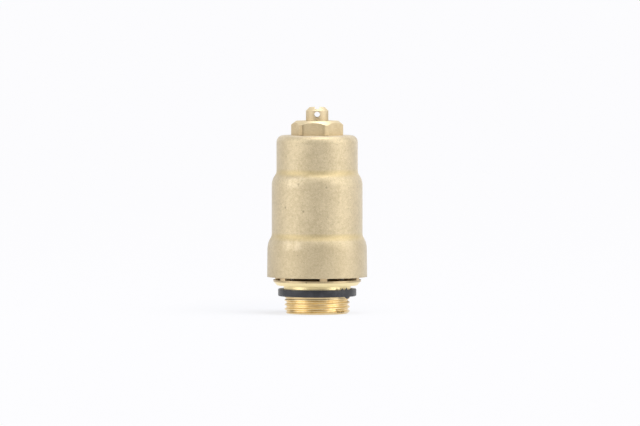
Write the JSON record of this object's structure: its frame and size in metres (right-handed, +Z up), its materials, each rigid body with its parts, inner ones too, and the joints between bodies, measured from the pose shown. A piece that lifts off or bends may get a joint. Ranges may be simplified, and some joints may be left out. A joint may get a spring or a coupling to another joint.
{
  "type": "safety valve",
  "caption": "Brass free-discharge safety valve with a bell-shaped blasted hood, a pipe-thread inlet with a rubber ring, a lock nut and a slotted adjusting screw.",
  "frame": {"origin": "middle of the inlet's end face, on the valve's axis", "axes": "+Z up along the valve's axis, -Y towards the viewer of the picture"},
  "size_m": [0.0406, 0.0406, 0.0837],
  "materials": {
    "brass_turned": "turned",
    "brass_blasted": "sandblasted",
    "rubber_black": "moulded",
    "seal_rubber": "moulded",
    "steel": "ground",
    "bush_plastic": "turned"
  },
  "bodies": {
    "housing": {"inlet_body": "brass_turned", "sealing_ring": "rubber_black", "hood": "brass_blasted", "lock_nut": "brass_turned", "spring": "steel"},
    "valve_head": {"valve_disc": "brass_turned", "disc_seal": "seal_rubber", "seal_washer": "steel", "seal_screw": "steel", "spindle_ball": "steel", "spindle": "steel", "spindle_clip": "steel", "lower_spring_plate": "brass_turned"},
    "spring_carrier": {"upper_spring_plate": "brass_turned"},
    "adjuster": {"adjusting_screw": "brass_turned", "guide_bush": "bush_plastic"}
  },
  "joints": [
    {"name": "valve_lift", "type": "slide", "parent": "housing", "child": "valve_head", "axis": [0, 0, 1], "range_m": [0, 0.003], "stiffness_N_per_m": 11500, "springref_m": -0.0004, "deforming": ["spring"]},
    {"name": "carrier_travel", "type": "slide", "parent": "housing", "child": "spring_carrier", "axis": [0, 0, 1], "range_m": [-0.00152, 0.00152], "deforming": ["spring"]},
    {"name": "adjuster_turn", "type": "hinge", "parent": "spring_carrier", "child": "adjuster", "pos_m": [0, 0, 0.075], "axis": [0, 0, 1], "range_deg": [-540, 540]}
  ],
  "couplings": [
    {"joint": "carrier_travel", "follows": "adjuster_turn", "m_per_rad": 0.00015915}
  ]
}
